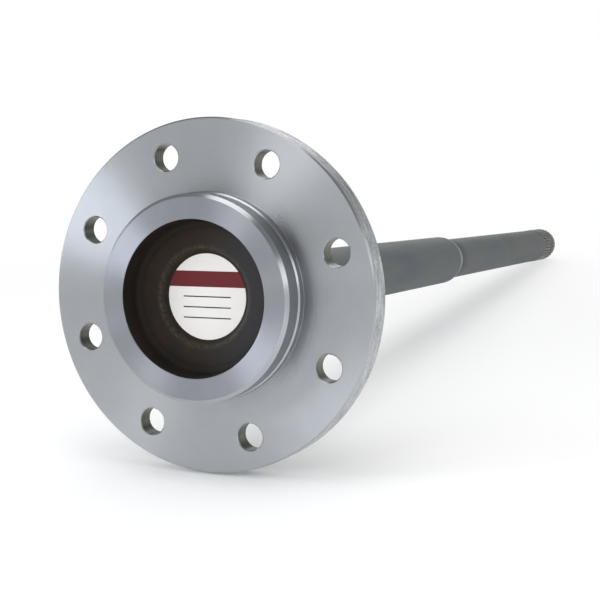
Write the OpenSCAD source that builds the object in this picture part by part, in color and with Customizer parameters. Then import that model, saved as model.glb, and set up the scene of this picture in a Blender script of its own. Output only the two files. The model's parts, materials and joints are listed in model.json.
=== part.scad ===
// Axle shaft with a drilled wheel flange, forged and turned in one piece, and the round label
// stuck in the pocket of its dish. The axis lies along Y: the wheel side points to -Y, the
// splined inner end to +Y, and the origin is the centre of the face that the wheel sits on.
// Places along the axis are measured from that face, in millimetres.

/* [Flange] */
// Outer diameter of the flange
flange_d = 201.5; // [196:0.5:240]
// Thickness of the flange
flange_t = 15.9; // [12.5:0.1:20]
// Bevel on the edge of the rim at the wheel face
rim_front_bevel = 0.9; // [0.3:0.1:2.5]
// Bevel on the edge of the rim at the back
rim_back_bevel = 0.6; // [0.3:0.1:2.5]

/* [Stud holes] */
// Number of stud holes
stud_count = 8; // [4:1:10]
// Diameter of the circle that the stud holes lie on
stud_circle_d = 165.1; // [154:0.1:170]
// Diameter of a stud hole
stud_hole_d = 15.5; // [10:0.1:20]
// Bevel at both ends of a stud hole
stud_hole_bevel = 0.5; // [0.2:0.1:1.5]
// Thickness of steel left between the wheel face and the head of a stud
stud_grip = 10.9; // [6:0.1:14.5]
// Diameter of the spot face that the head of a stud seats on, at the back of the flange
spot_face_d = 28; // [24:0.5:32]
// Turn of the first stud hole from the top, in degrees
stud_turn = -18.5; // [-45:0.5:45]

/* [Wheel pilot] */
// Diameter of the land that centres the wheel
pilot_d = 116.6; // [108:0.1:124]
// Height of the pilot above the wheel face
pilot_h = 19.2; // [17:0.1:30]
// Bevel on the outer edge of the pilot
pilot_bevel = 2; // [0.5:0.1:4]
// Height above the wheel face of the register at the root of the pilot, which centres the brake drum
register_h = 5.9; // [3:0.1:10]
// How far the register stands out from the pilot
register_step = 0.9; // [0.2:0.1:2]
// Fillet where the register meets the wheel face
register_root_r = 0.3; // [0.2:0.1:2]

/* [Dish] */
// Diameter of the dish at its mouth
dish_d = 88.4; // [78:0.1:100]
// Depth of the dish below the pilot
dish_depth = 14.6; // [8:0.1:18]
// Draft of the forged wall of the dish, in degrees
dish_draft = 5.5; // [1:0.5:12]
// Round on the edge of the mouth
dish_edge_r = 0.4; // [0.2:0.1:1.5]
// Fillet between the wall and the floor of the dish
dish_corner_r = 3.5; // [1:0.5:6]
// Diameter of the flat floor of the pocket in the middle of the dish
pocket_floor_d = 50.6; // [40:0.2:60]
// Depth of the pocket below the floor of the dish
pocket_depth = 4.1; // [1.5:0.1:8]
// Width of the sloping wall of the pocket
pocket_wall_run = 3; // [1:0.1:6]
// Fillet at the foot of the wall of the pocket
pocket_root_r = 1; // [0.3:0.1:2]
// Round on the edge of the pocket
pocket_edge_r = 1.6; // [0.3:0.1:3]

/* [Label] */
// Bare flat floor left around the label
label_margin = 0.35; // [0.1:0.05:10]
// Thickness of the label
label_t = 0.3; // [0.1:0.05:1]

/* [Neck and journals] */
// Diameter of the neck behind the flange
neck_d = 62; // [52:0.5:90]
// Length of the neck from the back of the flange
neck_length = 30; // [28:0.5:45]
// Fillet where the neck flares out into the flange
neck_root_r = 14; // [4:0.5:15]
// Round on the shoulder of the neck
neck_edge_r = 2.5; // [0.5:0.1:3.5]
// Diameter of the ground land that the oil seal runs on
seal_d = 47; // [45:0.1:50]
// Length of the seal land
seal_length = 17; // [10:0.5:30]
// Fillet at the root of the seal land
seal_root_r = 1.5; // [0.5:0.1:2]
// Length of the bevel between the seal land and the bearing journal
seal_bevel = 2.4; // [1:0.1:5]
// Diameter of the ground journal that the wheel bearing runs on
bearing_d = 43.4; // [42:0.1:44.5]
// Length of the bearing journal
bearing_length = 46; // [25:0.5:70]
// Length of the taper from the bearing journal down to the shaft
bearing_taper = 6; // [2:0.5:20]

/* [Shaft] */
// Length from the wheel face to the inner end
shaft_length = 846; // [760:1:1000]
// Diameter of the thick stretch of the shaft
body_d = 40.9; // [38:0.1:42]
// Diameter of the slim stretch of the shaft, which is the blank of the splines
slim_d = 35.1; // [34:0.1:37]
// Place of the shoulder, where the shaft begins to narrow
shoulder_y = 442; // [300:1:600]
// Length of the slope of the shoulder
shoulder_length = 10; // [6:1:60]
// Round at the outer edge of the shoulder
shoulder_edge_r = 36; // [10:1:150]
// Fillet at the foot of the shoulder
shoulder_root_r = 3; // [1:0.5:100]

/* [Splines] */
// Number of spline teeth
spline_teeth = 33; // [24:1:40]
// Pitch diameter of the splines
spline_pitch_d = 34.9; // [33:0.1:36]
// Pressure angle of the tooth flanks, in degrees
spline_pressure_angle = 30; // [20:1:37.5]
// Length of the splines from the inner end
spline_length = 62; // [40:1:120]
// Length over which the splines run out into the shaft
spline_runout = 5; // [2:0.5:12]
// Diameter of the inner end, inside its bevel
end_d = 32; // [28:0.1:33]
// Length of the bevel on the inner end
end_bevel_length = 9; // [2:0.1:12]

/* [Clip groove] */
// Diameter at the bottom of the groove for the retaining clip
clip_groove_d = 27.2; // [22:0.1:30]
// Width of the clip groove
clip_groove_w = 6.4; // [3:0.1:9]
// Length of the button between the clip groove and the inner end
clip_button_length = 20; // [14:0.5:26]

/* [Lathe centre] */
// Diameter of the mouth of the lathe centre in the inner end
centre_d = 10; // [6:0.5:14]
// Angle of the cone of the lathe centre, in degrees
centre_angle = 60; // [55:5:90]
// Diameter of the drilled pilot at the bottom of the lathe centre
centre_pilot_d = 4; // [2:0.5:5]
// Depth of the drilled pilot below the cone
centre_pilot_depth = 5; // [2:0.5:10]

/* [Hidden] */

// Colours as the eye takes them in: bright turned steel, white paper
steel_colour = "#969ca3";
paper_colour = "#f1eee8";

// Largest angle that one chord of a rounded corner spans, and how far cutters reach past a surface
arc_step = 9;
overrun = 1;

// Places along the axis
pilot_y = -pilot_h;
dish_y = pilot_y + dish_depth;
pocket_y = dish_y + pocket_depth;
neck_y = flange_t + neck_length;
seal_y = neck_y + seal_length;
bearing_start_y = seal_y + seal_bevel;
bearing_end_y = bearing_start_y + bearing_length;
spline_y = shaft_length - spline_length;
clip_groove_y = shaft_length - clip_button_length - clip_groove_w;

// Distances from the axis
flange_r = flange_d / 2;
pilot_r = pilot_d / 2;
register_r = pilot_r + register_step;
dish_floor_r = dish_d / 2 - dish_depth * tan(dish_draft);
pocket_floor_r = pocket_floor_d / 2;

// The label fits on the flat of the pocket's floor, inside the fillet at the foot of the wall
pocket_wall_angle = atan(pocket_depth / pocket_wall_run);
pocket_flat_r = pocket_floor_r - pocket_root_r * tan(pocket_wall_angle / 2);
label_r = pocket_flat_r - label_margin;

// Spline teeth of the stub form: their height above and below the pitch circle, in modules
tooth_above = 0.5;
tooth_below = 0.675;
spline_module = spline_pitch_d / spline_teeth;
spline_pitch_r = spline_pitch_d / 2;
spline_tip_r = spline_pitch_r + tooth_above * spline_module;
spline_root_r = spline_pitch_r - tooth_below * spline_module;
spline_base_r = spline_pitch_r * cos(spline_pressure_angle);

// The flanks reach past the tip and below the root, so that turned faces trim them cleanly
flank_reach = spline_module / 4;
flank_foot_r = spline_root_r - flank_reach;
flank_height = spline_tip_r + flank_reach - flank_foot_r;
flank_steps = 3;

// The bar runs on past the inner end until it is faced, and cutters clear the tips of the teeth
bar_end_y = shaft_length + overrun;
core_end_y = bar_end_y + overrun;
cutter_end_y = core_end_y + overrun;
cutter_r = max(spline_tip_r, slim_d / 2) + overrun;

// Corners of the turned outline: distance from the axis, place along it, radius of the round there
axle_corners = [
    [0, pocket_y, 0],
    [pocket_floor_r, pocket_y, pocket_root_r],
    [pocket_floor_r + pocket_wall_run, dish_y, pocket_edge_r],
    [dish_floor_r, dish_y, dish_corner_r],
    [dish_d / 2, pilot_y, dish_edge_r],
    [pilot_r - pilot_bevel, pilot_y, 0],
    [pilot_r, pilot_y + pilot_bevel, 0],
    [pilot_r, -register_h, 0],
    [register_r, register_step - register_h, 0],
    [register_r, 0, register_root_r],
    [flange_r - rim_front_bevel, 0, 0],
    [flange_r, rim_front_bevel, 0],
    [flange_r, flange_t - rim_back_bevel, 0],
    [flange_r - rim_back_bevel, flange_t, 0],
    [neck_d / 2, flange_t, neck_root_r],
    [neck_d / 2, neck_y, neck_edge_r],
    [seal_d / 2, neck_y, seal_root_r],
    [seal_d / 2, seal_y, 0],
    [bearing_d / 2, bearing_start_y, 0],
    [bearing_d / 2, bearing_end_y, 0],
    [body_d / 2, bearing_end_y + bearing_taper, 0],
    [body_d / 2, shoulder_y, shoulder_edge_r],
    [slim_d / 2, shoulder_y + shoulder_length, shoulder_root_r],
    [slim_d / 2, spline_y, 0],
    [spline_root_r, spline_y + spline_runout, 0],
    [spline_root_r, core_end_y, 0],
    [0, core_end_y, 0]
];

// Outline that the toothed bar is turned to: rising out of the shaft, then even to past the end
tooth_start_y = spline_y - spline_runout / 2;
tooth_corners = [
    [0, tooth_start_y],
    [spline_root_r, tooth_start_y],
    [spline_tip_r, tooth_start_y + spline_runout],
    [spline_tip_r, bar_end_y],
    [0, bar_end_y]
];

function unit(v) = v / norm(v);

function turned(v, angle) = [v[0] * cos(angle) - v[1] * sin(angle), v[0] * sin(angle) + v[1] * cos(angle)];

// Points of the corner at b, between its neighbours a and c, rounded by radius r as far as its sides allow
function rounded_corner(a, b, c, r) =
    r == 0 ? [b] :
    let (
        to_a = unit(a - b),
        to_c = unit(c - b),
        half = acos(to_a * to_c) / 2,
        radius = min(r, 0.5 * min(norm(a - b), norm(c - b)) * tan(half)),
        centre = b + unit(to_a + to_c) * radius / sin(half),
        first = b + to_a * radius / tan(half) - centre,
        sweep = sign(cross(to_c, to_a)) * (180 - 2 * half),
        steps = max(2, ceil(abs(sweep) / arc_step))
    )
    [for (i = [0 : steps]) centre + turned(first, sweep * i / steps)];

function flat_point(corner) = [corner[0], corner[1]];

// Outline through a ring of corners, each with its own radius
function rounded_outline(corners) = [
    for (i = [0 : len(corners) - 1])
        each rounded_corner(
            flat_point(corners[(i + len(corners) - 1) % len(corners)]),
            flat_point(corners[i]),
            flat_point(corners[(i + 1) % len(corners)]),
            corners[i][2]
        )
];

// Involute of an angle, in degrees
function involute(angle) = tan(angle) * 180 / PI - angle;

// Half the angle that a tooth spans at distance r from the axis
function tooth_half_angle(r) =
    90 / spline_teeth + involute(spline_pressure_angle) - involute(acos(min(1, spline_base_r / r)));

function polar(r, angle) = [r * sin(angle), r * cos(angle)];

// One flank from its foot to past the tip, on side -1 or +1 of the tooth at the given angle
function flank(angle, side) = [
    for (i = [0 : flank_steps])
        let (r = flank_foot_r + i * flank_height / flank_steps)
        polar(r, angle + side * tooth_half_angle(r))
];

function reversed(points) = [for (i = [len(points) - 1 : -1 : 0]) points[i]];

// One tooth, standing on two points sunk straight below its flanks
function tooth(angle) =
    let (
        left = flank(angle, -1),
        right = flank(angle, 1),
        sunk = 1 - 2 * flank_reach / spline_root_r
    )
    concat([left[0] * sunk], left, reversed(right), [right[0] * sunk]);

// Solid turned about the Y axis from an outline of radius and place
module turned_solid(outline) {
    rotate([-90, 0, 0]) rotate_extrude($fn = 128) polygon(outline);
}

// Toothed bar, trimmed to its tip diameter and to the run-out
module spline_bar() {
    intersection() {
        rotate([-90, 0, 0])
            translate([0, 0, tooth_start_y - overrun])
                linear_extrude(core_end_y - tooth_start_y + overrun)
                    polygon([for (i = [0 : spline_teeth - 1]) each tooth(i * 360 / spline_teeth)]);
        turned_solid(tooth_corners);
    }
}

// Drill for one stud hole, bevelled at both ends, with the spot face at the back
module stud_drill() {
    hole_r = stud_hole_d / 2;
    turned_solid([
        [0, -overrun],
        [hole_r + stud_hole_bevel + overrun, -overrun],
        [hole_r, stud_hole_bevel],
        [hole_r, stud_grip - stud_hole_bevel],
        [hole_r + stud_hole_bevel, stud_grip],
        [spot_face_d / 2, stud_grip],
        [spot_face_d / 2, flange_t + overrun],
        [0, flange_t + overrun]
    ]);
}

module stud_holes() {
    for (i = [0 : stud_count - 1])
        rotate([0, stud_turn + i * 360 / stud_count, 0])
            translate([0, 0, stud_circle_d / 2])
                stud_drill();
}

// Ring that the retaining clip drops into
module clip_groove() {
    turned_solid([
        [clip_groove_d / 2, clip_groove_y],
        [cutter_r, clip_groove_y],
        [cutter_r, clip_groove_y + clip_groove_w],
        [clip_groove_d / 2, clip_groove_y + clip_groove_w]
    ]);
}

// Cut that faces the inner end and bevels its edge
module end_facing() {
    slope = (spline_tip_r - end_d / 2) / end_bevel_length;
    turned_solid([
        [0, shaft_length],
        [end_d / 2, shaft_length],
        [cutter_r, shaft_length - (cutter_r - end_d / 2) / slope],
        [cutter_r, cutter_end_y],
        [0, cutter_end_y]
    ]);
}

// Lathe centre in the inner end: a cone that ends in a short drilled pilot
module lathe_centre() {
    cone_slope = tan(centre_angle / 2);
    pilot_start_y = shaft_length - (centre_d - centre_pilot_d) / 2 / cone_slope;
    turned_solid([
        [0, pilot_start_y - centre_pilot_depth],
        [centre_pilot_d / 2, pilot_start_y - centre_pilot_depth],
        [centre_pilot_d / 2, pilot_start_y],
        [centre_d / 2 + overrun * cone_slope, shaft_length + overrun],
        [0, shaft_length + overrun]
    ]);
}

module axle_shaft() {
    color(steel_colour)
        difference() {
            union() {
                turned_solid(rounded_outline(axle_corners));
                spline_bar();
            }
            stud_holes();
            clip_groove();
            end_facing();
            lathe_centre();
        }
}

module round_label() {
    color(paper_colour)
        rotate([-90, 0, 0])
            translate([0, 0, pocket_y - label_t])
                cylinder(r = label_r, h = label_t, $fn = 128);
}

axle_shaft();
round_label();
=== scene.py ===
"""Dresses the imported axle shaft: turned flange, forged dish and shaft, cut splines and a paper label."""

import json
import math

import bmesh
import bpy
from mathutils import Matrix, Vector


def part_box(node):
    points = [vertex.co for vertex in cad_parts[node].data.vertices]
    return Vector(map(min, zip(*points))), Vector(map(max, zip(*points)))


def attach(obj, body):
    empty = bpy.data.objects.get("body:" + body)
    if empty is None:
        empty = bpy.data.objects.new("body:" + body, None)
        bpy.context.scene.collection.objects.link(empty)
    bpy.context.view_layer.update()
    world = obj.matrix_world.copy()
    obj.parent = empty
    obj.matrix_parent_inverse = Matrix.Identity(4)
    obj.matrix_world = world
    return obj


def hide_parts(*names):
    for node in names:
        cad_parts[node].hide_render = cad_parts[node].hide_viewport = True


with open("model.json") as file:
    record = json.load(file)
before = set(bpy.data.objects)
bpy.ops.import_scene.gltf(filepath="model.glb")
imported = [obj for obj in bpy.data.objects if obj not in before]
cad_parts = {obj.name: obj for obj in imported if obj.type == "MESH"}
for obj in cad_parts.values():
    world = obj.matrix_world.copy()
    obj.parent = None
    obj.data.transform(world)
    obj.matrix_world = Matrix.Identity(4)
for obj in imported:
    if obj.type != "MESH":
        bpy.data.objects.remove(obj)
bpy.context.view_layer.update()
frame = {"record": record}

bl_info = {
    "name": "Axle shaft",
    "version": (1, 0, 0),
    "blender": (4, 5, 0),
    "location": "3D View > Sidebar > Axle shaft",
    "description": "Models an axle shaft with a drilled wheel flange, and the stage it lies on",
    "category": "Object",
}

MM = 0.001

MOUNTS = {mount["name"]: mount for mount in frame["record"]["mounts"]}
AXLE_LOW, AXLE_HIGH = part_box("axle_shaft")
LABEL_LOW, LABEL_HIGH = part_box("round_label")

# Columns of faces round the axle: each spline tooth takes twelve of them, so that its edges are true
COLUMNS_PER_TOOTH = 12
# Columns of faces round a stud hole, and sides of the label
STUD_COLUMNS = 72
LABEL_SIDES = 160
# Largest turn of one step of a rounded corner
ROUND_STEP = math.radians(7)
# Edges that turn more sharply than this keep a crisp line
CRISP_ANGLE = math.radians(24)
# Points closer than this are one
WELD = 0.002 * MM

# Places of the sockets of a colour Mix node
MIX_A, MIX_B, MIX_RESULT = 6, 7, 2
WHITE = (1, 1, 1, 1)

# The camera that fits the photograph: its lens in millimetres, its place, and its tilt and turn
LENS = 74.63
CAMERA_PLACE = (0.32755, -0.62046, 0.05645)
CAMERA_TILT = math.radians(-4.767)
CAMERA_TURN = math.radians(23.571)


def mount_size(mount, size):
    """A size of one of the record's mounts, in metres."""
    return MOUNTS[mount]["dims"][size] * MM


def linear(hex_colour):
    """Linear RGBA of an sRGB hex colour."""
    shares = [int(hex_colour[i:i + 2], 16) / 255 for i in (1, 3, 5)]
    return (*(s / 12.92 if s <= 0.04045 else ((s + 0.055) / 1.055) ** 2.4 for s in shares), 1.0)


def length(name, description, default):
    """A length that a user can change."""
    return bpy.props.FloatProperty(
        name=name, description=description, default=default, min=0, precision=5, unit="LENGTH"
    )


def angle(name, description, degrees):
    """An angle that a user can change."""
    return bpy.props.FloatProperty(
        name=name, description=description, default=math.radians(degrees), subtype="ANGLE"
    )


def colour(name, description, hex_colour):
    """A colour that a user can change."""
    return bpy.props.FloatVectorProperty(
        name=name, description=description, default=linear(hex_colour), size=4, min=0, max=1, subtype="COLOR"
    )


def count(name, description, default, least):
    """A count that a user can change."""
    return bpy.props.IntProperty(name=name, description=description, default=default, min=least)


def power(name, description, watts):
    """The power of a lamp, which a user can change."""
    return bpy.props.FloatProperty(name=name, description=description, default=watts, unit="POWER")


def number(name, description, default):
    """A plain number that a user can change."""
    return bpy.props.FloatProperty(name=name, description=description, default=default)


class AxleFlangeSizes(bpy.types.PropertyGroup):
    """Sizes of the flange, its stud holes, the wheel pilot and the dish"""

    radius: length("Radius", "Outer radius of the flange", AXLE_HIGH.x)
    thickness: length("Thickness", "Thickness of the flange", 15.9 * MM)
    front_bevel: length("Front bevel", "Bevel of the rim at the wheel face", 0.9 * MM)
    back_bevel: length("Back bevel", "Bevel of the rim at the back", 0.6 * MM)
    stud_count: count("Stud holes", "Number of stud holes", MOUNTS["wheel_bolts"]["dims"]["count"], 3)
    stud_circle: length(
        "Stud circle", "Radius that the holes lie on", mount_size("wheel_bolts", "pcd_mm") / 2
    )
    stud_radius: length("Stud hole", "Radius of a stud hole", mount_size("wheel_bolts", "hole_r_mm"))
    stud_bevel: length("Stud hole bevel", "Bevel at both ends of a stud hole", 0.5 * MM)
    stud_grip: length("Stud grip", "Steel between the wheel face and the head of a stud", 10.9 * MM)
    spot_radius: length("Spot face", "Radius of the spot face behind a stud hole", 14 * MM)
    stud_turn: angle("Stud turn", "Turn of the first stud hole from the top", -18.5)
    pilot_radius: length("Pilot", "Radius of the wheel pilot", mount_size("wheel_pilot", "r_mm"))
    pilot_height: length("Pilot height", "Height of the pilot above the wheel face", -AXLE_LOW.y)
    pilot_bevel: length("Pilot bevel", "Bevel on the outer edge of the pilot", 2 * MM)
    register_radius: length(
        "Register", "Radius of the brake drum's register", mount_size("drum_register", "r_mm")
    )
    register_height: length("Register height", "Height of the register above the wheel face", 5.9 * MM)
    register_root: length("Register root", "Fillet between the register and the wheel face", 0.3 * MM)
    dish_radius: length("Dish", "Radius of the mouth of the dish", 44.2 * MM)
    dish_depth: length("Dish depth", "Depth of the dish below the pilot", 14.6 * MM)
    dish_draft: angle("Dish draft", "Slope of the wall of the dish", 5.5)
    dish_edge: length("Dish edge", "Round on the mouth of the dish", 0.4 * MM)
    dish_corner: length("Dish corner", "Fillet between the wall and the floor of the dish", 3.5 * MM)
    pocket_radius: length("Pocket", "Radius of the floor of the pocket", 25.3 * MM)
    pocket_depth: length("Pocket depth", "Depth of the pocket below the dish", 4.1 * MM)
    pocket_run: length("Pocket wall", "Width of the sloping wall of the pocket", 3 * MM)
    pocket_root: length("Pocket root", "Fillet at the foot of the wall", 1 * MM)
    pocket_edge: length("Pocket edge", "Round on the edge of the pocket", 1.6 * MM)


class AxleShaftSizes(bpy.types.PropertyGroup):
    """Sizes of the neck, the journals, the shaft and its inner end"""

    neck_radius: length("Neck", "Radius of the neck behind the flange", 31 * MM)
    neck_length: length("Neck length", "Length of the neck", 30 * MM)
    neck_root: length("Neck root", "Fillet between the neck and the flange", 14 * MM)
    neck_edge: length("Neck edge", "Round on the shoulder of the neck", 2.5 * MM)
    seal_radius: length("Seal land", "Radius of the land of the oil seal", 23.5 * MM)
    seal_length: length("Seal length", "Length of the seal land", 17 * MM)
    seal_root: length("Seal root", "Fillet at the root of the seal land", 1.5 * MM)
    seal_bevel: length("Seal bevel", "Length of the bevel after the seal land", 2.4 * MM)
    bearing_radius: length("Journal", "Radius of the bearing journal", mount_size("bearing_journal", "r_mm"))
    bearing_length: length(
        "Journal length", "Length of the journal", mount_size("bearing_journal", "length_mm")
    )
    bearing_taper: length("Journal taper", "Length of the taper after the journal", 6 * MM)
    body_radius: length("Thick shaft", "Radius of the thick stretch", 20.45 * MM)
    slim_radius: length("Slim shaft", "Radius of the slim stretch", 17.55 * MM)
    shoulder_place: length("Shoulder", "Place where the shaft begins to narrow", 442 * MM)
    shoulder_length: length("Shoulder length", "Length of the slope of the shoulder", 10 * MM)
    shoulder_edge: length("Shoulder edge", "Round at the outer edge of the shoulder", 36 * MM)
    shoulder_root: length("Shoulder root", "Fillet at the foot of the shoulder", 3 * MM)
    end_place: length("Inner end", "Length from the wheel face to the inner end", AXLE_HIGH.y)
    end_radius: length("End radius", "Radius of the inner end, inside its bevel", 16 * MM)
    end_bevel: length("End bevel", "Length of the bevel on the inner end", 9 * MM)
    groove_place: length(
        "Clip groove", "Place of the middle of the clip groove", MOUNTS["clip_groove"]["pos_m"][1]
    )
    groove_radius: length(
        "Groove radius", "Radius at the bottom of the groove", mount_size("clip_groove", "r_mm")
    )
    groove_width: length("Groove width", "Width of the clip groove", mount_size("clip_groove", "length_mm"))
    centre_radius: length("Lathe centre", "Radius of the mouth of the lathe centre", 5 * MM)
    centre_angle: angle("Centre angle", "Angle of the cone of the lathe centre", 60)
    drill_radius: length("Centre drill", "Radius of the drilled pilot of the centre", 2 * MM)
    drill_depth: length("Drill depth", "Depth of the drilled pilot below the cone", 5 * MM)


class AxleSplineSizes(bpy.types.PropertyGroup):
    """Sizes of the spline teeth"""

    teeth: count("Teeth", "Number of spline teeth", 33, 6)
    pitch_radius: length("Pitch radius", "Pitch radius of the splines", 17.45 * MM)
    pressure_angle: angle("Pressure angle", "Pressure angle of the flanks", 30)
    above_pitch: number("Height above", "Tooth height above the pitch circle, in modules", 0.5)
    below_pitch: number("Depth below", "Tooth depth below the pitch circle, in modules", 0.675)
    length: length(
        "Length", "Length of the splines from the inner end", mount_size("spline_end", "length_mm")
    )
    run_out: length("Run-out", "Length over which the splines run out into the shaft", 5 * MM)


class AxleColours(bpy.types.PropertyGroup):
    """Colours of the finishes"""

    face_light: colour("Wheel face, light", "Light tone of the turned wheel face", "#aeb1b5")
    face_dark: colour("Wheel face, dark", "Dark tone of the turned wheel face", "#9da0a4")
    pilot_light: colour("Pilot, light", "Light tone of the turned pilot", "#a6a9b0")
    pilot_dark: colour("Pilot, dark", "Dark tone of the turned pilot", "#92959d")
    rim_light: colour("Rim, light", "Light tone of the rough rim", "#b8bbbe")
    rim_dark: colour("Rim, dark", "Dark tone of the rough rim", "#838689")
    dish_warm: colour("Dish, warm", "Brown tone of the forging scale", "#352a25")
    dish_cool: colour("Dish, cool", "Olive tone of the forging scale", "#282521")
    # Painted light: the lighter grey laid over the right of the dish
    dish_painted_light: colour("Dish, bloom", "Grey tone of the dry bloom", "#3c3b3d")
    dish_worn: colour("Dish, worn", "Olive tone where the scale is rubbed thin", "#4f4a3a")
    bore_light: colour("Stud hole, light", "Light tone of the drilled steel", "#6d7064")
    bore_dark: colour("Stud hole, dark", "Dark tone of the drilled steel", "#33352f")
    shaft_grey: colour("Shaft, grey", "Main tone of the forged shaft", "#5e6463")
    shaft_blue: colour("Shaft, blue", "Bluish tone of the forged shaft", "#555b63")
    shaft_olive: colour("Shaft, olive", "Olive tone of the forged shaft", "#55584e")
    # Light metallic grey of the band at the foot of the shoulder
    shaft_foot_band: colour("Shaft, turned", "Bare steel at the foot of the shoulder", "#aab0b2")
    ground: colour("Journals", "Ground steel of the journals", "#b9bcc0")
    spline: colour("Splines", "Cut steel of the splines", "#585a54")
    groove: colour("Clip groove", "Dull steel of the clip groove", "#8e908a")
    paper: colour("Paper", "White paper of the label", "#f8f6f2")
    print_red: colour("Print, red", "Maroon of the label's band", "#6a1a20")
    print_black: colour("Print, black", "Black of the label's rules", "#26262a")
    floor: colour("Floor", "White paint of the floor", "#f4f4f4")


class AxleStageSizes(bpy.types.PropertyGroup):
    """Sizes of the stage and strengths of its lamps"""

    floor_size: length("Floor", "Width of the floor", 12)
    floor_fade: length("Floor fade", "Distance at which the floor ends in plain white", 1.1)
    key_power: power("Key", "Power of the key lamp", 5.8)
    front_power: power("Front", "Power of the front lamp", 1.45)
    top_power: power("Top", "Power of the top lamp", 2.8)
    side_power: power("Side", "Power of the side lamp", 1.1)
    back_power: power("Back", "Power of the back lamp", 1.2)
    fill_power: power("Fill", "Power of the fill lamp", 0.2)
    ambient: number("Ambient", "Strength of the even light", 0.75)
    room: number("Room", "Strength of the room above the white", 0.35)
    floor_lift: number("Floor lift", "How much whiter the floor is seen", 0.1)
    floor_glow: number("Floor glow", "Extra light of the mirrored floor", 0.2)


def add_node(tree, kind, inputs=None, **settings):
    """Adds a shader node to a tree, sets its properties, sets its inputs or links them to other nodes'
    sockets, and gives its outputs."""
    made = tree.nodes.new("ShaderNode" + kind)
    for name, value in settings.items():
        setattr(made, name, value)
    for name, value in (inputs or {}).items():
        if isinstance(value, bpy.types.NodeSocket):
            tree.links.new(value, made.inputs[name])
        else:
            made.inputs[name].default_value = value
    return made.outputs


def start_material(name):
    """A new material, its tree, and the socket of a point's place on the piece."""
    material = bpy.data.materials.new(name)
    material.use_nodes = True
    tree = material.node_tree
    tree.nodes.clear()
    return material, tree, add_node(tree, "TexCoord")["Object"]


def turned_coordinates(tree, place):
    """Sockets of the direction round the axis at a place, its distance from it, and the tool's path."""
    around = add_node(tree, "VectorMath", {0: place, 1: (0, 1, 0)}, operation="CROSS_PRODUCT")[0]
    radius = add_node(tree, "VectorMath", {0: around}, operation="LENGTH")["Value"]
    along = add_node(tree, "SeparateXYZ", {0: place})["Y"]
    path = add_node(tree, "Math", {0: radius, 1: along}, operation="ADD")[0]
    return around, radius, path


def turned_steel(name, dark, light, polish, anisotropy, painted_shade_start=0.0, painted_shade_end=WELD):
    """Medium carbon steel, finish turned on a lathe: a silvery grey whose fine rings of tool marks spread
    each light into a fan across the face, with faint smudges from handling. Painted shade, which fades out
    between two distances from the axis and is deeper on the right, darkens it and makes it mirror more
    clearly there."""
    # The feed marks are about 0.2 mm apart, drawn 0.9 mm apart so that they show
    feed = 0.9 * MM
    smudge = 28 * MM
    polish_spread = 0.08
    # The painted shade deepens between these places on the right of the axis
    deeper_shade_from, deeper_shade_to = 40 * MM, 54 * MM
    # Shares of the colour that the painted shade leaves, faint and deep
    faint_shade_share, deep_shade_share = 0.95, 0.68
    material, tree, place = start_material(name)
    around, radius, path = turned_coordinates(tree, place)
    rings = add_node(tree, "TexNoise", {"W": path, "Scale": 1 / feed, "Detail": 3}, noise_dimensions="1D")[0]
    smudges = add_node(tree, "TexNoise", {
        "Vector": place, "Scale": 1 / smudge, "Detail": 5, "Roughness": 0.6,
    })[0]
    marks = add_node(tree, "Math", {0: rings, 1: smudges, 2: 0.5}, operation="MULTIPLY_ADD")[0]
    tone = add_node(tree, "Mix", {0: smudges, MIX_A: dark, MIX_B: light}, data_type="RGBA")[MIX_RESULT]
    lines = add_node(tree, "MapRange", {
        "Value": rings, "From Min": 0.3, "From Max": 0.7, "To Min": 0.975, "To Max": 1.025,
    })[0]
    across = add_node(tree, "SeparateXYZ", {0: place})["X"]
    shade_share_across = add_node(tree, "MapRange", {
        "Value": across,
        "From Min": deeper_shade_from,
        "From Max": deeper_shade_to,
        "To Min": faint_shade_share,
        "To Max": deep_shade_share,
    })[0]
    # Painted shade: clear is the share of the colour left, lowest near the pilot and 1 beyond the shade
    clear = add_node(tree, "MapRange", {
        "Value": radius, "From Min": painted_shade_start, "From Max": painted_shade_end, "To Min": shade_share_across,
    }, interpolation_type="SMOOTHSTEP")[0]
    dimmed = add_node(tree, "Math", {0: lines, 1: clear}, operation="MULTIPLY")[0]
    shade = add_node(tree, "VectorMath", {0: tone, "Scale": dimmed}, operation="SCALE")[0]
    unshaded_roughness = add_node(tree, "MapRange", {
        "Value": marks, "From Min": 0.2, "From Max": 1, "To Min": polish, "To Max": polish + polish_spread,
    })[0]
    # The painted shade's mask also lowers the roughness
    clear_squared = add_node(tree, "Math", {0: clear, 1: clear}, operation="MULTIPLY")[0]
    roughness = add_node(tree, "Math", {0: unshaded_roughness, 1: clear_squared}, operation="MULTIPLY")[0]
    relief = add_node(tree, "Bump", {"Height": rings, "Strength": 0.15, "Distance": 0.02 * MM})[0]
    steel = add_node(tree, "BsdfPrincipled", {
        "Base Color": shade,
        "Metallic": 1.0,
        "Roughness": roughness,
        "Normal": relief,
        "Anisotropic": anisotropy,
        "Anisotropic Rotation": 0.25,
        "Tangent": around,
    })[0]
    add_node(tree, "OutputMaterial", {"Surface": steel})
    return material


def wheel_face(colours):
    """The turned face that the wheel sits on, with painted shade in the corner round the pilot, deeper on
    the right.
    """
    return turned_steel(
        "turned wheel face", colours.face_dark, colours.face_light, polish=0.29, anisotropy=0.94,
        painted_shade_start=60 * MM, painted_shade_end=72 * MM,
    )


def pilot_end(colours):
    """The end of the pilot, a little darker than the wheel face."""
    return turned_steel(
        "turned pilot end", colours.pilot_dark, colours.pilot_light, polish=0.34, anisotropy=1.0
    )


def pilot_side(colours):
    """The side of the pilot, turned finer because it centres the wheel."""
    return turned_steel(
        "fine turned pilot side", colours.face_dark, colours.face_light, polish=0.24, anisotropy=0.72
    )


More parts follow.
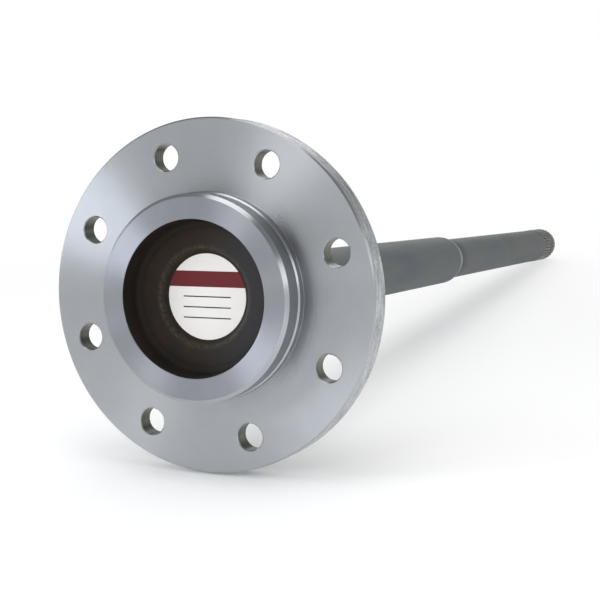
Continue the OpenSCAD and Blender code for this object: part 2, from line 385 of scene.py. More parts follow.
def rough_rim(colours):
    """The same steel, rough turned on the rim: a dull light grey with torn, speckled tool marks."""
    speck = 1.6 * MM
    # The tool tears streaks about 12 mm long and 2 mm wide, which lie round the rim
    streak_length, slimness = 12 * MM, 6
    material, tree, place = start_material("rough turned rim")
    speckle = add_node(tree, "TexNoise", {
        "Vector": place, "Scale": 1 / speck, "Detail": 4, "Roughness": 0.65,
    })[0]
    drawn_round = add_node(tree, "VectorMath", {0: place, 1: (1, slimness, 1)}, operation="MULTIPLY")[0]
    streaks = add_node(tree, "TexNoise", {
        "Vector": drawn_round, "Scale": 1 / streak_length, "Detail": 4, "Roughness": 0.6,
    })[0]
    marks = add_node(tree, "Math", {0: speckle, 1: streaks}, operation="ADD")[0]
    spread = add_node(tree, "MapRange", {"Value": marks, "From Min": 0.78, "From Max": 1.22})[0]
    tone = add_node(tree, "Mix", {
        0: spread, MIX_A: colours.rim_dark, MIX_B: colours.rim_light,
    }, data_type="RGBA")[MIX_RESULT]
    roughness = add_node(tree, "MapRange", {
        "Value": streaks, "From Min": 0.35, "From Max": 0.65, "To Min": 0.44, "To Max": 0.3,
    })[0]
    relief = add_node(tree, "Bump", {"Height": marks, "Strength": 0.25, "Distance": 0.1 * MM})[0]
    steel = add_node(tree, "BsdfPrincipled", {
        "Base Color": tone, "Metallic": 1.0, "Roughness": roughness, "Normal": relief,
    })[0]
    add_node(tree, "OutputMaterial", {"Surface": steel})
    return material


def forging_scale(colours):
    """Black iron oxide left by hot forging, rubbed with oil: a brown-black skin with a dull sheen and soft
    patches, with painted light on the right of the dish and painted shade in its corner."""
    patch, pit = 16 * MM, 1.8 * MM
    lit_right_from, lit_right_to = -8 * MM, 34 * MM
    worn_radius, worn_reach = 28.1 * MM, 2.2 * MM
    corner_start, corner_end = 37.5 * MM, 41 * MM
    material, tree, place = start_material("oiled forging scale")
    patches = add_node(tree, "TexNoise", {
        "Vector": place, "Scale": 1 / patch, "Detail": 4, "Roughness": 0.55,
    })[0]
    grain = add_node(tree, "TexNoise", {"Vector": place, "Scale": 1 / pit, "Detail": 3})[0]
    spread = add_node(tree, "MapRange", {"Value": patches, "From Min": 0.35, "From Max": 0.65})[0]
    tone = add_node(tree, "Mix", {
        0: spread, MIX_A: colours.dish_cool, MIX_B: colours.dish_warm,
    }, data_type="RGBA")[MIX_RESULT]
    roughness = add_node(tree, "MapRange", {
        "Value": patches, "From Min": 0.3, "From Max": 0.7, "To Min": 0.5, "To Max": 0.68,
    })[0]
    # Painted light makes the right of the dish a lighter grey
    across = add_node(tree, "SeparateXYZ", {0: place})["X"]
    painted_light_share = add_node(tree, "MapRange", {
        "Value": across, "From Min": lit_right_from, "From Max": lit_right_to,
    }, interpolation_type="SMOOTHSTEP")[0]
    lit_on_right = add_node(tree, "Mix", {
        0: painted_light_share, MIX_A: tone, MIX_B: colours.dish_painted_light,
    }, data_type="RGBA")[MIX_RESULT]
    # The edge of the pocket is rubbed to a lighter olive in places, over a width of about 4 mm
    flat_place = add_node(tree, "VectorMath", {0: place, 1: (1, 0, 1)}, operation="MULTIPLY")[0]
    radius = add_node(tree, "VectorMath", {0: flat_place}, operation="LENGTH")["Value"]
    past_edge = add_node(tree, "Math", {0: radius, 1: worn_radius}, operation="SUBTRACT")[0]
    off_edge = add_node(tree, "Math", {0: past_edge}, operation="ABSOLUTE")[0]
    on_edge = add_node(tree, "MapRange", {"Value": off_edge, "From Min": worn_reach, "From Max": 0})[0]
    rubbed = add_node(tree, "MapRange", {
        "Value": grain, "From Min": 0.3, "From Max": 0.8, "To Max": on_edge,
    })[0]
    worn = add_node(tree, "Mix", {
        0: rubbed, MIX_A: lit_on_right, MIX_B: colours.dish_worn,
    }, data_type="RGBA")[MIX_RESULT]
    # Painted shade darkens the corner of the dish
    corner_shade = add_node(tree, "MapRange", {
        "Value": radius, "From Min": corner_end, "From Max": corner_start, "To Min": 0.72, "To Max": 1.0,
    }, interpolation_type="SMOOTHSTEP")[0]
    shade = add_node(tree, "VectorMath", {0: worn, "Scale": corner_shade}, operation="SCALE")[0]
    relief = add_node(tree, "Bump", {"Height": grain, "Strength": 0.4, "Distance": 0.15 * MM})[0]
    skin = add_node(tree, "BsdfPrincipled", {
        "Base Color": shade, "Roughness": roughness, "Specular IOR Level": 0.13, "Normal": relief,
    })[0]
    add_node(tree, "OutputMaterial", {"Surface": skin})
    return material


def drilled_steel(colours):
    """Steel cut by a drill: dark olive grey in the depth of the hole, with rings of lighter scoring."""
    # The scoring is about 0.2 mm apart, drawn 0.8 mm apart so that it shows
    feed = 0.8 * MM
    material, tree, place = start_material("drilled steel")
    depth = add_node(tree, "SeparateXYZ", {0: place})["Y"]
    scoring = add_node(
        tree, "TexNoise", {"W": depth, "Scale": 1 / feed, "Detail": 2}, noise_dimensions="1D"
    )[0]
    spread = add_node(tree, "MapRange", {"Value": scoring, "From Min": 0.35, "From Max": 0.65})[0]
    tone = add_node(tree, "Mix", {
        0: spread, MIX_A: colours.bore_dark, MIX_B: colours.bore_light,
    }, data_type="RGBA")[MIX_RESULT]
    steel = add_node(tree, "BsdfPrincipled", {"Base Color": tone, "Metallic": 1.0, "Roughness": 0.38})[0]
    add_node(tree, "OutputMaterial", {"Surface": steel})
    return material


def forged_shaft(colours):
    """Forged and shot-blasted shaft with a thin grey phosphate: matt, with bluish and olive clouds and fine
    pits, and painted shade behind the foot of the shoulder."""
    cloud, pit = 26 * MM, 2.2 * MM
    # The hammer draws the clouds out along the shaft, to four times their width. The shift puts a bluish one
    # on the right of the thick stretch
    squeeze, shift = 0.25, 70 * MM
    # Where the foot of the shoulder lies, and how far from it the other places are
    shoulder_foot = 449.5 * MM
    foot_band_start, foot_band_full = -14 * MM, -4 * MM
    foot_shade_start, foot_shade_full, foot_shade_end = 2 * MM, 4 * MM, 24 * MM
    material, tree, place = start_material("phosphated forging")
    drawn_out = add_node(tree, "VectorMath", {
        0: place, 1: (1, squeeze, 1), 2: (0, shift, 0),
    }, operation="MULTIPLY_ADD")[0]
    clouds = add_node(tree, "TexNoise", {
        "Vector": drawn_out, "Scale": 1 / cloud, "Detail": 2, "Roughness": 0.45,
    })[0]
    blue = add_node(tree, "MapRange", {"Value": clouds, "From Min": 0.48, "From Max": 0.72})[0]
    olive = add_node(tree, "MapRange", {"Value": clouds, "From Min": 0.5, "From Max": 0.27})[0]
    grain = add_node(tree, "TexNoise", {"Vector": place, "Scale": 1 / pit, "Detail": 4, "Roughness": 0.7})[0]
    bluish = add_node(tree, "Mix", {
        0: blue, MIX_A: colours.shaft_grey, MIX_B: colours.shaft_blue,
    }, data_type="RGBA")[MIX_RESULT]
    clouded = add_node(tree, "Mix", {
        0: olive, MIX_A: bluish, MIX_B: colours.shaft_olive,
    }, data_type="RGBA")[MIX_RESULT]
    flecks = add_node(tree, "MapRange", {
        "Value": grain, "From Min": 0.3, "From Max": 0.7, "To Min": 0.88, "To Max": 1.12,
    })[0]
    tone = add_node(tree, "VectorMath", {0: clouded, "Scale": flecks}, operation="SCALE")[0]
    along = add_node(tree, "SeparateXYZ", {0: place})["Y"]
    past_foot = add_node(tree, "Math", {0: along, 1: shoulder_foot}, operation="SUBTRACT")[0]
    # Painted shade in the corner behind the shoulder's foot darkens the next 20 mm
    in_corner = add_node(tree, "MapRange", {
        "Value": past_foot, "From Min": foot_shade_start, "From Max": foot_shade_full,
    })[0]
    # Painted shade: oil is its mask, dim its darkening, and oiled the shaded colour
    oil = add_node(tree, "MapRange", {
        "Value": past_foot, "From Min": foot_shade_end, "From Max": foot_shade_full, "To Max": in_corner,
    })[0]
    dim = add_node(tree, "MapRange", {"Value": oil, "To Min": 1.0, "To Max": 0.56})[0]
    oiled = add_node(tree, "VectorMath", {0: tone, "Scale": dim}, operation="SCALE")[0]
    # At the foot the shaft turns to a light metallic grey, which fades into the forging over 10 mm
    turned = add_node(tree, "MapRange", {
        "Value": past_foot, "From Min": foot_band_start, "From Max": foot_band_full, "To Max": 0.78,
    })[0]
    foot_metal = add_node(tree, "MapRange", {"Value": in_corner, "To Min": turned, "To Max": 0.0})[0]
    banded = add_node(tree, "Mix", {
        0: foot_metal, MIX_A: oiled, MIX_B: colours.shaft_foot_band,
    }, data_type="RGBA")[MIX_RESULT]
    relief = add_node(tree, "Bump", {"Height": grain, "Strength": 0.45, "Distance": 0.2 * MM})[0]
    skin = add_node(tree, "BsdfPrincipled", {
        "Base Color": banded,
        "Metallic": foot_metal,
        "Roughness": 0.6,
        "Specular IOR Level": 0.2,
        "Normal": relief,
    })[0]
    add_node(tree, "OutputMaterial", {"Surface": skin})
    return material


def ground_steel(colours):
    """Induction hardened steel, ground: bright and even, with hairlines round the axis."""
    # Grinding hairlines are a few hundredths of a millimetre wide, drawn 0.7 mm wide so that they show
    hairline = 0.7 * MM
    material, tree, place = start_material("ground journal steel")
    around, _, path = turned_coordinates(tree, place)
    hairlines = add_node(
        tree, "TexNoise", {"W": path, "Scale": 1 / hairline, "Detail": 2}, noise_dimensions="1D"
    )[0]
    shade = add_node(tree, "MapRange", {
        "Value": hairlines, "From Min": 0.3, "From Max": 0.7, "To Min": 0.9, "To Max": 1.05,
    })[0]
    tone = add_node(tree, "VectorMath", {0: tuple(colours.ground)[:3], "Scale": shade}, operation="SCALE")[0]
    roughness = add_node(tree, "MapRange", {"Value": hairlines, "To Min": 0.2, "To Max": 0.3})[0]
    steel = add_node(tree, "BsdfPrincipled", {
        "Base Color": tone,
        "Metallic": 1.0,
        "Roughness": roughness,
        "Anisotropic": 0.5,
        "Anisotropic Rotation": 0.25,
        "Tangent": around,
    })[0]
    add_node(tree, "OutputMaterial", {"Surface": steel})
    return material


def cut_steel(name, colour_cut, metallic):
    """Steel cut across the grain and oiled: a satin grey with small stains."""
    stain = 7 * MM
    material, tree, place = start_material(name)
    stains = add_node(tree, "TexNoise", {"Vector": place, "Scale": 1 / stain, "Detail": 3})[0]
    shade = add_node(tree, "MapRange", {
        "Value": stains, "From Min": 0.3, "From Max": 0.7, "To Min": 0.8, "To Max": 1.15,
    })[0]
    tone = add_node(tree, "VectorMath", {0: tuple(colour_cut)[:3], "Scale": shade}, operation="SCALE")[0]
    steel = add_node(tree, "BsdfPrincipled", {"Base Color": tone, "Metallic": metallic, "Roughness": 0.4})[0]
    add_node(tree, "OutputMaterial", {"Surface": steel})
    return material


def spline_teeth(colours):
    """Hobbed teeth: a slightly olive grey with a satin shine along the teeth."""
    return cut_steel("hobbed steel", colours.spline, metallic=0.85)


def clip_groove(colours):
    """The groove, plunge turned and left dull, so that it scatters light and stays paler than the teeth."""
    return cut_steel("dull turned groove", colours.groove, metallic=0.2)


def label_paper(colours):
    """Coated white paper, printed: an even satin white with a maroon band over blank dark rules."""
    band_middle, band_half = 10 * MM, 4.5 * MM
    # The rules lie at even heights within a form below the band
    rule_pitch, rule_half = 6 * MM, 0.35 * MM
    form_middle, form_half_height, form_half_width = -6 * MM, 7 * MM, 15 * MM
    fibre = 0.6 * MM
    material, tree, place = start_material("printed satin paper")
    across, _, upright = add_node(tree, "SeparateXYZ", {0: place})
    band = add_node(tree, "Math", {0: upright, 1: band_middle, 2: band_half}, operation="COMPARE")[0]
    off_rule = add_node(tree, "Math", {0: upright, 1: rule_pitch / 2}, operation="PINGPONG")[0]
    on_rule = add_node(tree, "Math", {0: off_rule, 1: rule_half}, operation="LESS_THAN")[0]
    in_height = add_node(
        tree, "Math", {0: upright, 1: form_middle, 2: form_half_height}, operation="COMPARE"
    )[0]
    in_width = add_node(tree, "Math", {0: across, 1: 0.0, 2: form_half_width}, operation="COMPARE")[0]
    in_form = add_node(tree, "Math", {0: in_height, 1: in_width}, operation="MULTIPLY")[0]
    rules = add_node(tree, "Math", {0: on_rule, 1: in_form}, operation="MULTIPLY")[0]
    banded = add_node(tree, "Mix", {
        0: band, MIX_A: colours.paper, MIX_B: colours.print_red,
    }, data_type="RGBA")[MIX_RESULT]
    printed = add_node(tree, "Mix", {
        0: rules, MIX_A: banded, MIX_B: colours.print_black,
    }, data_type="RGBA")[MIX_RESULT]
    fibres = add_node(tree, "TexNoise", {"Vector": place, "Scale": 1 / fibre, "Detail": 3})[0]
    relief = add_node(tree, "Bump", {"Height": fibres, "Strength": 0.15, "Distance": 0.03 * MM})[0]
    paper = add_node(tree, "BsdfPrincipled", {
        "Base Color": printed, "Roughness": 0.5, "Specular IOR Level": 0.3, "Normal": relief,
    })[0]
    add_node(tree, "OutputMaterial", {"Surface": paper})
    return material


def draw_chain(bm, corners):
    """Adds a chain of edges through corners (distance from the axis, place along it, radius of the round
    there), and rounds each corner that has a radius."""
    verts = [bm.verts.new((radius, place, 0)) for radius, place, _ in corners]
    for first, second in zip(verts, verts[1:]):
        bm.edges.new((first, second))
    points = [vert.co.copy() for vert in verts]
    for before, here, after, vert, corner in zip(points, points[1:], points[2:], verts[1:], corners[1:]):
        if corner[2] > 0:
            turn = (here - before).angle(after - here)
            bmesh.ops.bevel(
                bm, geom=[vert], offset=corner[2] * math.tan(turn / 2), offset_type="OFFSET",
                affect="VERTICES", segments=max(2, math.ceil(turn / ROUND_STEP)), profile=0.5, material=-1,
            )


def turn_chain(bm, columns):
    """Turns the chain about the Y axis into a closed skin that faces outwards."""
    bmesh.ops.spin(
        bm, geom=bm.verts[:] + bm.edges[:], cent=(0, 0, 0), axis=(0, 1, 0), angle=2 * math.pi, steps=columns,
        use_merge=True,
    )
    bmesh.ops.remove_doubles(bm, verts=bm.verts[:], dist=WELD)
    bmesh.ops.recalc_face_normals(bm, faces=bm.faces[:])


def verts_of(geometry):
    """The vertices among some vertices, edges and faces."""
    return [part for part in geometry if isinstance(part, bmesh.types.BMVert)]


def make_object(name, bm):
    """An object at the origin that holds the bmesh, which is freed."""
    mesh = bpy.data.meshes.new(name)
    bm.to_mesh(mesh)
    bm.free()
    made = bpy.data.objects.new(name, mesh)
    bpy.context.scene.collection.objects.link(made)
    return made


def involute(flank_angle):
    """The involute function."""
    return math.tan(flank_angle) - flank_angle


class SplineForm:
    """Radii and tooth stations worked out from the spline sizes"""

    def __init__(self, spline, shaft):
        module = 2 * spline.pitch_radius / spline.teeth
        self.teeth = spline.teeth
        self.pressure_angle = spline.pressure_angle
        self.pitch = 2 * math.pi / spline.teeth
        self.pitch_radius = spline.pitch_radius
        self.tip = spline.pitch_radius + spline.above_pitch * module
        self.root = spline.pitch_radius - spline.below_pitch * module
        self.base = spline.pitch_radius * math.cos(spline.pressure_angle)
        self.start = shaft.end_place - spline.length
        self.run_out = spline.run_out
        self.blank = shaft.slim_radius
        # The teeth rise over the length of the run-out, and begin to do so half of it before the splines
        self.rise = (self.tip - self.root) / spline.run_out
        self.rise_start = self.start - spline.run_out / 2
        self.fall = (self.blank - self.root) / spline.run_out

    def tooth_top(self, place):
        """How far the teeth stand from the axis at a place in the run-out."""
        return min(self.tip, self.root + self.rise * (place - self.rise_start))

    def gap_floor(self, place):
        """How far the gaps between the teeth lie from the axis at a place."""
        return max(self.root, self.blank - self.fall * (place - self.start))

    def meeting_place(self):
        """Where the rising teeth come out of the falling core."""
        starts = self.fall * self.start + self.rise * self.rise_start
        return (self.blank - self.root + starts) / (self.rise + self.fall)

    def half_angle(self, radius):
        """Half the angle that a tooth spans at a radius."""
        return self.pitch / 4 + involute(self.pressure_angle) - involute(math.acos(self.base / radius))

    def stations(self):
        """Angle and radius of the points of one tooth, from the middle of its tip to the next tooth."""
        upper = (self.tip + self.pitch_radius) / 2
        lower = (self.root + self.pitch_radius) / 2
        side = [(self.half_angle(r), r) for r in (self.tip, upper, self.pitch_radius, lower, self.root)]
        other_side = [(self.pitch - turn, r) for turn, r in reversed(side)]
        return [(0, self.tip), *side, (self.pitch / 2, self.root), *other_side]


def axle_corners(flange, shaft, form):
    """Corners of the turned outline, from the middle of the dish to the bottom of the lathe centre."""
    pilot = -flange.pilot_height
    register_step = flange.register_radius - flange.pilot_radius
    dish = pilot + flange.dish_depth
    pocket = dish + flange.pocket_depth
    dish_floor_radius = flange.dish_radius - flange.dish_depth * math.tan(flange.dish_draft)
    neck = flange.thickness + shaft.neck_length
    seal = neck + shaft.seal_length
    bearing = seal + shaft.seal_bevel
    bearing_end = bearing + shaft.bearing_length
    teeth_meet = form.meeting_place()
    groove = shaft.groove_place - shaft.groove_width / 2
    end = shaft.end_place
    end_slope = shaft.end_bevel / (form.tip - shaft.end_radius)
    cone_depth = (shaft.centre_radius - shaft.drill_radius) / math.tan(shaft.centre_angle / 2)
    return [
        # Pocket and dish
        (0, pocket, 0),
        (flange.pocket_radius, pocket, flange.pocket_root),
        (flange.pocket_radius + flange.pocket_run, dish, flange.pocket_edge),
        (dish_floor_radius, dish, flange.dish_corner),
        (flange.dish_radius, pilot, flange.dish_edge),
        # Pilot and register
        (flange.pilot_radius - flange.pilot_bevel, pilot, 0),
        (flange.pilot_radius, pilot + flange.pilot_bevel, 0),
        (flange.pilot_radius, -flange.register_height, 0),
        (flange.register_radius, register_step - flange.register_height, 0),
        (flange.register_radius, 0, flange.register_root),
        # Wheel face, rim and back of the flange
        (flange.radius - flange.front_bevel, 0, 0),
        (flange.radius, flange.front_bevel, 0),
        (flange.radius, flange.thickness - flange.back_bevel, 0),
        (flange.radius - flange.back_bevel, flange.thickness, 0),
        # Neck, seal land and bearing journal
        (shaft.neck_radius, flange.thickness, shaft.neck_root),
        (shaft.neck_radius, neck, shaft.neck_edge),
        (shaft.seal_radius, neck, shaft.seal_root),
        (shaft.seal_radius, seal, 0),
        (shaft.bearing_radius, bearing, 0),
        (shaft.bearing_radius, bearing_end, 0),
        # Thick and slim stretches of the shaft
        (shaft.body_radius, bearing_end + shaft.bearing_taper, 0),
        (shaft.body_radius, shaft.shoulder_place, shaft.shoulder_edge),
        (shaft.slim_radius, shaft.shoulder_place + shaft.shoulder_length, shaft.shoulder_root),
        (shaft.slim_radius, form.start, 0),
        # Splines and clip groove
        (form.tooth_top(teeth_meet), teeth_meet, 0),
        (form.tip, form.rise_start + form.run_out, 0),
        (form.tip, form.start + form.run_out, 0),
        (form.tip, groove, 0),
        (shaft.groove_radius, groove, 0),
        (shaft.groove_radius, groove + shaft.groove_width, 0),
        (form.tip, groove + shaft.groove_width, 0),
        # Inner end and its lathe centre
        (form.tip, end - shaft.end_bevel, 0),
        (form.root, end - (form.root - shaft.end_radius) * end_slope, 0),
        (shaft.end_radius, end, 0),
        (shaft.centre_radius, end, 0),
        (shaft.drill_radius, end - cone_depth, 0),
        (shaft.drill_radius, end - cone_depth - shaft.drill_depth, 0),
        (0, end - cone_depth - shaft.drill_depth, 0),
    ]


def cut_splines(bm, form):
    """Moves the columns of the turned skin to the stations of the teeth, and sinks the gaps between them."""
    stations = form.stations()
    column_turn = form.pitch / len(stations)
    for vert in bm.verts:
        radius = math.hypot(vert.co.x, vert.co.z)
        if vert.co.y > form.start + WELD and radius > form.root - WELD:
            column = round(math.atan2(vert.co.z, vert.co.x) / column_turn)
            tooth, station = divmod(column, len(stations))
            turn, height = stations[station]
            radius = max(form.gap_floor(vert.co.y), min(radius, height))
            turn += tooth * form.pitch
            vert.co.x = radius * math.cos(turn)
            vert.co.z = radius * math.sin(turn)


def stud_axes(flange):
    """Places of the stud holes' axes on the wheel face."""
    step = 2 * math.pi / flange.stud_count
    turns = [flange.stud_turn + i * step for i in range(flange.stud_count)]
    return [Vector((math.sin(turn), 0, math.cos(turn))) * flange.stud_circle for turn in turns]


def drill_studs(axle, flange):
    """Cuts the bevelled stud holes and their spot faces out of the flange."""
    overrun = 1 * MM
    corners = [
        (0, -overrun, 0),
        (flange.stud_radius + flange.stud_bevel + overrun, -overrun, 0),
        (flange.stud_radius, flange.stud_bevel, 0),
        (flange.stud_radius, flange.stud_grip - flange.stud_bevel, 0),
        (flange.stud_radius + flange.stud_bevel, flange.stud_grip, 0),
        (flange.spot_radius, flange.stud_grip, 0),
        (flange.spot_radius, flange.thickness + overrun, 0),
        (0, flange.thickness + overrun, 0),
    ]
    drills = bmesh.new()
    draw_chain(drills, corners)
    turn_chain(drills, STUD_COLUMNS)
    first = drills.verts[:] + drills.edges[:] + drills.faces[:]
    axes = stud_axes(flange)
    for axis in axes[1:]:
        copied = bmesh.ops.duplicate(drills, geom=first)["geom"]
        bmesh.ops.translate(drills, verts=verts_of(copied), vec=axis)
    bmesh.ops.translate(drills, verts=verts_of(first), vec=axes[0])
    cutter = make_object("stud_drills", drills)
    cut = axle.modifiers.new("stud holes", "BOOLEAN")
    cut.operation = "DIFFERENCE"
    cut.solver = "EXACT"
    cut.object = cutter
    drilled = bpy.data.meshes.new_from_object(axle.evaluated_get(bpy.context.evaluated_depsgraph_get()))
    axle.modifiers.remove(cut)
    axle.data = drilled
    bpy.data.objects.remove(cutter)


def zone_of(face, flange, shaft, form, axes):
    """The finish that a face of the axle has, by where it lies."""
    middle = face.calc_center_median()
    radius = math.hypot(middle.x, middle.z)
    place = middle.y
    dish_mouth = flange.dish_edge - flange.pilot_height
    if radius < flange.dish_radius - WELD and dish_mouth < place < flange.thickness - WELD:
        return "dish"
    if place < WELD:
        if place > -flange.register_root:
            return "face"
        on_side = radius > flange.pilot_radius - flange.pilot_bevel and place > WELD - flange.pilot_height
        return "pilot side" if on_side else "pilot end"
    if place < flange.thickness - WELD:
        off_stud = min(math.hypot(middle.x - axis.x, middle.z - axis.z) for axis in axes)
        if off_stud < flange.spot_radius + WELD:
            return "face" if place < flange.stud_bevel else "bore"
        return "face" if place < flange.front_bevel else "rim"
    neck = flange.thickness + shaft.neck_length
    journals_end = neck + shaft.seal_length + shaft.seal_bevel + shaft.bearing_length
    if neck + WELD < place < journals_end:
        return "ground"
    if abs(place - shaft.groove_place) < shaft.groove_width / 2 + WELD and radius < form.root:
        return "groove"
    return "spline" if place > form.start else "shaft"


ZONE_FINISHES = {
    "face": wheel_face,
    "pilot end": pilot_end,
    "pilot side": pilot_side,
    "rim": rough_rim,
    "dish": forging_scale,
    "bore": drilled_steel,
    "shaft": forged_shaft,
    "ground": ground_steel,
    "spline": spline_teeth,
    "groove": clip_groove,
}


def finish_zones(axle, flange, shaft, form, colours):
    """Gives each face of the axle the finish of its zone, and marks the crisp edges."""
    zones = list(ZONE_FINISHES)
    axes = stud_axes(flange)
    axle.data.materials.clear()
    for finish in ZONE_FINISHES.values():
        axle.data.materials.append(finish(colours))
    bm = bmesh.new()
    bm.from_mesh(axle.data)
    for face in bm.faces:
        face.smooth = True
        face.material_index = zones.index(zone_of(face, flange, shaft, form, axes))
    for edge in bm.edges:
        edge.smooth = edge.calc_face_angle(math.pi) < CRISP_ANGLE
    bm.to_mesh(axle.data)
    bm.free()
    even = axle.modifiers.new("even shading", "WEIGHTED_NORMAL")
    even.keep_sharp = True


class AXLE_OT_forging(bpy.types.Operator):
    """Models the axle shaft with its flange, journals and splines"""

    bl_idname = "axle.forging"
    bl_label = "Axle forging"

    def execute(self, context):
        scene = context.scene
        flange, shaft, colours = scene.axle_flange, scene.axle_shaft, scene.axle_colours
        form = SplineForm(scene.axle_spline, shaft)
        bm = bmesh.new()
        draw_chain(bm, axle_corners(flange, shaft, form))
        turn_chain(bm, form.teeth * COLUMNS_PER_TOOTH)
        cut_splines(bm, form)
        axle = make_object("axle_forging", bm)
        drill_studs(axle, flange)
        finish_zones(axle, flange, shaft, form, colours)
        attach(axle, "root")
        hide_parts("axle_shaft")
        return {"FINISHED"}


class AXLE_OT_label(bpy.types.Operator):
    """Models the round paper label in the pocket of the dish"""

    bl_idname = "axle.label"
    bl_label = "Round label"

    def execute(self, context):
        radius = (LABEL_HIGH.x - LABEL_LOW.x) / 2
        thickness = LABEL_HIGH.y - LABEL_LOW.y
        bm = bmesh.new()
        made = bmesh.ops.create_circle(bm, cap_ends=True, radius=radius, segments=LABEL_SIDES)
        upright = Matrix.Rotation(math.pi / 2, 3, "X")
        bmesh.ops.rotate(bm, verts=made["verts"], cent=(0, 0, 0), matrix=upright)
        raised = bmesh.ops.extrude_face_region(bm, geom=bm.faces[:])["geom"]
        bmesh.ops.translate(bm, verts=verts_of(raised), vec=(0, -thickness, 0))
        bmesh.ops.translate(bm, verts=bm.verts[:], vec=(0, LABEL_HIGH.y, 0))
        bmesh.ops.recalc_face_normals(bm, faces=bm.faces[:])
        label = make_object("label_disc", bm)
        label.data.materials.append(label_paper(context.scene.axle_colours))
        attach(label, "root")
        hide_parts("round_label")
        return {"FINISHED"}


def ray_to_background(tree):
    """Socket that is 1 for rays from the camera, from shiny surfaces and through clear ones."""
    ray = add_node(tree, "LightPath")
    seen, shiny, clear = ray["Is Camera Ray"], ray["Is Glossy Ray"], ray["Is Transmission Ray"]
    seen_or_shiny = add_node(tree, "Math", {0: seen, 1: shiny}, operation="MAXIMUM")[0]
    return add_node(tree, "Math", {0: seen_or_shiny, 1: clear}, operation="MAXIMUM")[0]


def floor_paint(stage, colours):
    """Matt white studio paint, which ends in plain white away from the object."""
    fade_start = stage.floor_fade / 3
    material, tree, place = start_material("matt white floor")
    away = add_node(tree, "VectorMath", {0: place}, operation="LENGTH")["Value"]
    fade = add_node(tree, "MapRange", {
        "Value": away, "From Min": fade_start, "From Max": stage.floor_fade,
    }, interpolation_type="SMOOTHSTEP")[0]
    seen = ray_to_background(tree)
    away_seen = add_node(tree, "Math", {0: fade, 1: seen}, operation="MULTIPLY")[0]
    shiny_ray = add_node(tree, "LightPath")["Is Glossy Ray"]
    glow_strength = add_node(tree, "Math", {
        0: shiny_ray, 1: stage.floor_glow, 2: stage.floor_lift,
    }, operation="MULTIPLY_ADD")[0]
    lift = add_node(tree, "Math", {0: seen, 1: glow_strength}, operation="MULTIPLY")[0]
    paint = add_node(tree, "BsdfDiffuse", {"Color": colours.floor})[0]
    glow = add_node(tree, "Emission", {"Color": WHITE, "Strength": lift})[0]
    lifted = add_node(tree, "AddShader", {0: paint, 1: glow})[0]
    white = add_node(tree, "Emission", {"Color": WHITE, "Strength": 1.0})[0]
    mixed = add_node(tree, "MixShader", {0: away_seen, 1: lifted, 2: white})[0]
    add_node(tree, "OutputMaterial", {"Surface": mixed})
    return material


def white_world(stage):
    """A world that is plain white to see, a dimmer room above the white in shiny surfaces, and a softer even
    light on matt ones."""
    # Sines of the heights at which the white ends and the room is fully dim
    white_top, room_bottom = 0.15, 0.45
    world = bpy.data.worlds.new("white studio")
    world.use_nodes = True
    tree = world.node_tree
    tree.nodes.clear()
    direction = add_node(tree, "TexCoord")["Generated"]
    height = add_node(tree, "SeparateXYZ", {0: direction})["Z"]
    room = add_node(tree, "MapRange", {
        "Value": height, "From Min": white_top, "From Max": room_bottom, "To Min": 1.0, "To Max": stage.room,
    }, interpolation_type="SMOOTHSTEP")[0]
    camera_ray = add_node(tree, "LightPath")["Is Camera Ray"]
    seen = add_node(tree, "Math", {0: camera_ray, 1: room}, operation="MAXIMUM")[0]
    even = add_node(tree, "Background", {"Color": WHITE, "Strength": stage.ambient})[0]
    white = add_node(tree, "Background", {"Color": WHITE, "Strength": seen})[0]
    mixed = add_node(tree, "MixShader", {0: ray_to_background(tree), 1: even, 2: white})[0]
    add_node(tree, "OutputWorld", {"Surface": mixed})
    return world


def lay_floor(stage, flange, shaft, form, colours):
    """Lays the floor under the axle, which rests on its rim and on the tips of its splines."""
    rim_place = flange.thickness - flange.back_bevel
    rest_length = shaft.end_place - shaft.end_bevel - rim_place
    slope = math.atan((flange.radius - form.tip) / rest_length)
    bm = bmesh.new()
    bmesh.ops.create_grid(bm, x_segments=1, y_segments=1, size=stage.floor_size / 2)
    floor = make_object("floor", bm)
    floor.rotation_euler = (slope, 0, 0)
    floor.location = (0, rim_place, -flange.radius)
    floor.data.materials.append(floor_paint(stage, colours))


def hang_lamps(stage):
    """Hangs square soft boxes that point at the middle of the wheel face."""
    # Name, place, width, power and colour of each
    lamps = (
        ("key", (-1.27, -0.74, 0.28), 0.45, stage.key_power, "#eef4ff"),
        ("front", (-0.32, -1.38, 0.49), 0.3, stage.front_power, "#ffffff"),
        ("fill", (-0.05, -1.42, 0.45), 0.5, stage.fill_power, "#ffffff"),
        ("top", (0.03, -0.15, 1.0), 0.6, stage.top_power, "#ffffff"),
        ("side", (1.05, -0.47, 0.36), 0.4, stage.side_power, "#ffffff"),
        ("back", (-0.25, 1.30, 0.43), 0.45, stage.back_power, "#ffffff"),
    )
    for name, place, width, watts, tint in lamps:
        light = bpy.data.lights.new(name, "AREA")
        light.shape = "SQUARE"
        light.size = width
        light.energy = watts
        light.color = linear(tint)[:3]
        lamp = bpy.data.objects.new(name, light)
        lamp.location = place
        lamp.rotation_euler = (-Vector(place)).to_track_quat("-Z", "Y").to_euler()
        bpy.context.scene.collection.objects.link(lamp)


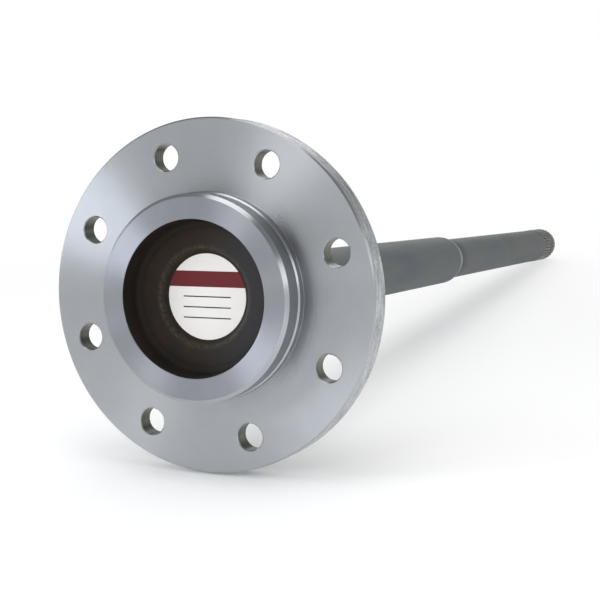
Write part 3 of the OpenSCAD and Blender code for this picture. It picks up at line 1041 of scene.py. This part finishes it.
def set_camera(scene):
    """Sets the camera at the photograph's viewing angle."""
    camera_data = bpy.data.cameras.new("camera")
    camera_data.lens = LENS
    camera = bpy.data.objects.new("camera", camera_data)
    camera.location = CAMERA_PLACE
    camera.rotation_euler = (math.pi / 2 + CAMERA_TILT, 0, CAMERA_TURN)
    scene.collection.objects.link(camera)
    scene.camera = camera


class AXLE_OT_stage(bpy.types.Operator):
    """Lays the floor, hangs the lamps and sets up the camera"""

    bl_idname = "axle.stage"
    bl_label = "Stage"

    def execute(self, context):
        scene = context.scene
        stage, shaft = scene.axle_stage, scene.axle_shaft
        form = SplineForm(scene.axle_spline, shaft)
        lay_floor(stage, scene.axle_flange, shaft, form, scene.axle_colours)
        hang_lamps(stage)
        scene.world = white_world(stage)
        scene.view_settings.view_transform = "Standard"
        set_camera(scene)
        return {"FINISHED"}


class AXLE_PT_panel(bpy.types.Panel):
    """Lists the pieces of the axle shaft and their sizes"""

    bl_idname = "AXLE_PT_panel"
    bl_label = "Axle shaft"
    bl_space_type = "VIEW_3D"
    bl_region_type = "UI"
    bl_category = "Axle shaft"

    def draw(self, context):
        for operator in (AXLE_OT_forging, AXLE_OT_label, AXLE_OT_stage):
            self.layout.operator(operator.bl_idname)
        for group in SETTINGS:
            settings = getattr(context.scene, group)
            for name in settings.bl_rna.properties.keys():
                if name not in ("rna_type", "name"):
                    self.layout.prop(settings, name)


SETTINGS = {
    "axle_flange": AxleFlangeSizes,
    "axle_shaft": AxleShaftSizes,
    "axle_spline": AxleSplineSizes,
    "axle_colours": AxleColours,
    "axle_stage": AxleStageSizes,
}
CLASSES = (*SETTINGS.values(), AXLE_OT_forging, AXLE_OT_label, AXLE_OT_stage, AXLE_PT_panel)


def register():
    """Registers the classes, and hangs the settings on the scene."""
    for cls in CLASSES:
        bpy.utils.register_class(cls)
    for name, group in SETTINGS.items():
        setattr(bpy.types.Scene, name, bpy.props.PointerProperty(type=group))


def unregister():
    """Undoes what register did."""
    for name in SETTINGS:
        delattr(bpy.types.Scene, name)
    for cls in reversed(CLASSES):
        bpy.utils.unregister_class(cls)


def main():
    """Makes the pieces and the stage."""
    register()
    bpy.ops.axle.forging()
    bpy.ops.axle.label()
    bpy.ops.axle.stage()


if __name__ == "__main__":
    main()
